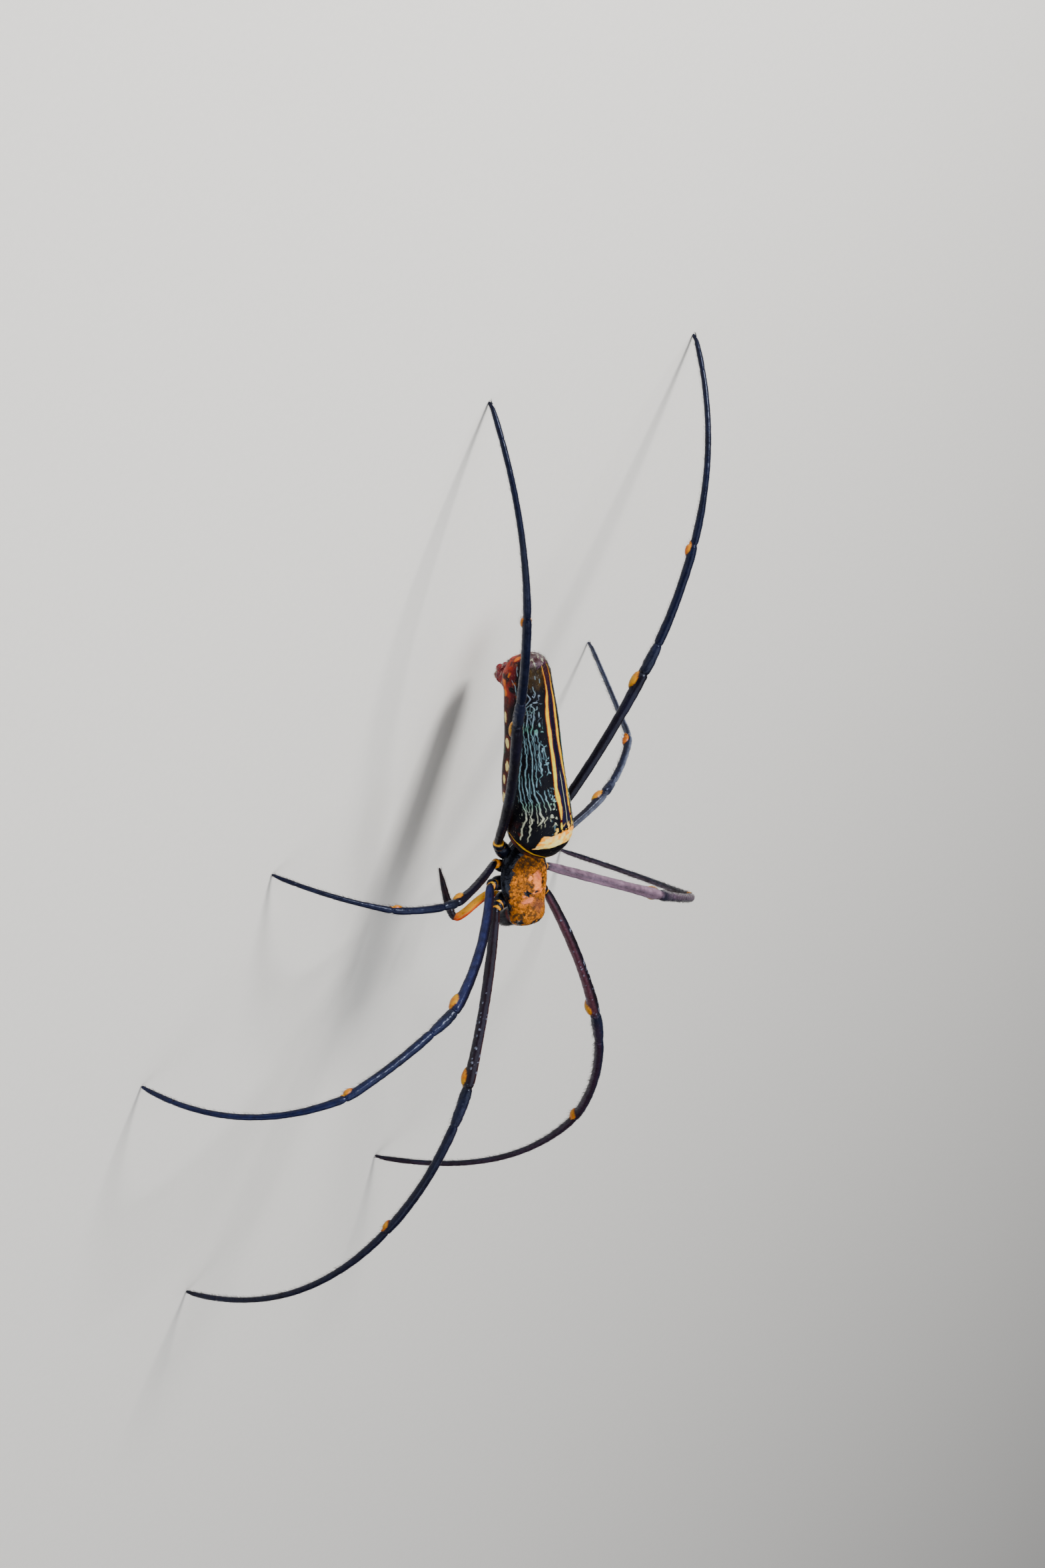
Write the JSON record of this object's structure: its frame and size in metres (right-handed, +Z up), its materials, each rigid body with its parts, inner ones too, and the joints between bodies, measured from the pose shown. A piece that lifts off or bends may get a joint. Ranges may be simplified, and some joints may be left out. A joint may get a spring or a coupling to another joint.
{
  "type": "golden silk orb weaver model",
  "caption": "Still life-size model of an adult female golden silk orb weaver, standing on the tips of its long bent legs.",
  "frame": {"origin": "on the floor, at the centre of the base of the bounding box, under the spread feet", "axes": "+Z up from the floor, the head looks towards -Y, the spider's left side is +X"},
  "size_m": [0.1208, 0.1748, 0.0352],
  "materials": {
    "leg_cuticle": "glossy black cuticle with a blue-grey sheen, orange membranes at the joints and fine short bristles",
    "brown_cuticle": "dark brown to orange cuticle with short hairs",
    "golden_pubescence": "dense golden hair that lies flat, with bald black and peach patches",
    "abdomen_skin": "soft satin black skin with two cream-yellow stripes, pale wavy lines and a cream front band",
    "spinneret_skin": "maroon skin with pale short hairs",
    "eye_lens": "clear polished black lens"
  },
  "bodies": {
    "root": {"carapace": "golden_pubescence", "sternum": "brown_cuticle", "abdomen": "abdomen_skin", "pedicel": "brown_cuticle", "spinnerets": "spinneret_skin", "right_chelicera": "leg_cuticle", "right_fang": "brown_cuticle", "right_palp": "brown_cuticle", "right_eye_front_median": "eye_lens", "right_eye_rear_median": "eye_lens", "right_eye_front_side": "eye_lens", "right_eye_rear_side": "eye_lens", "left_chelicera": "leg_cuticle", "left_fang": "brown_cuticle", "left_palp": "brown_cuticle", "left_eye_front_median": "eye_lens", "left_eye_rear_median": "eye_lens", "left_eye_front_side": "eye_lens", "left_eye_rear_side": "eye_lens", "right_leg_1_coxa": "leg_cuticle", "right_leg_1_femur": "leg_cuticle", "right_leg_1_tibia": "leg_cuticle", "right_leg_1_metatarsus": "leg_cuticle", "right_leg_1_tarsus": "leg_cuticle", "right_leg_2_coxa": "leg_cuticle", "right_leg_2_femur": "leg_cuticle", "right_leg_2_tibia": "leg_cuticle", "right_leg_2_metatarsus": "leg_cuticle", "right_leg_2_tarsus": "leg_cuticle", "right_leg_3_coxa": "leg_cuticle", "right_leg_3_femur": "leg_cuticle", "right_leg_3_tibia": "leg_cuticle", "right_leg_3_metatarsus": "leg_cuticle", "right_leg_3_tarsus": "leg_cuticle", "right_leg_4_coxa": "leg_cuticle", "right_leg_4_femur": "leg_cuticle", "right_leg_4_tibia": "leg_cuticle", "right_leg_4_metatarsus": "leg_cuticle", "right_leg_4_tarsus": "leg_cuticle", "left_leg_1_coxa": "leg_cuticle", "left_leg_1_femur": "leg_cuticle", "left_leg_1_tibia": "leg_cuticle", "left_leg_1_metatarsus": "leg_cuticle", "left_leg_1_tarsus": "leg_cuticle", "left_leg_2_coxa": "leg_cuticle", "left_leg_2_femur": "leg_cuticle", "left_leg_2_tibia": "leg_cuticle", "left_leg_2_metatarsus": "leg_cuticle", "left_leg_2_tarsus": "leg_cuticle", "left_leg_3_coxa": "leg_cuticle", "left_leg_3_femur": "leg_cuticle", "left_leg_3_tibia": "leg_cuticle", "left_leg_3_metatarsus": "leg_cuticle", "left_leg_3_tarsus": "leg_cuticle", "left_leg_4_coxa": "leg_cuticle", "left_leg_4_femur": "leg_cuticle", "left_leg_4_tibia": "leg_cuticle", "left_leg_4_metatarsus": "leg_cuticle", "left_leg_4_tarsus": "leg_cuticle"}
  },
  "joints": []
}
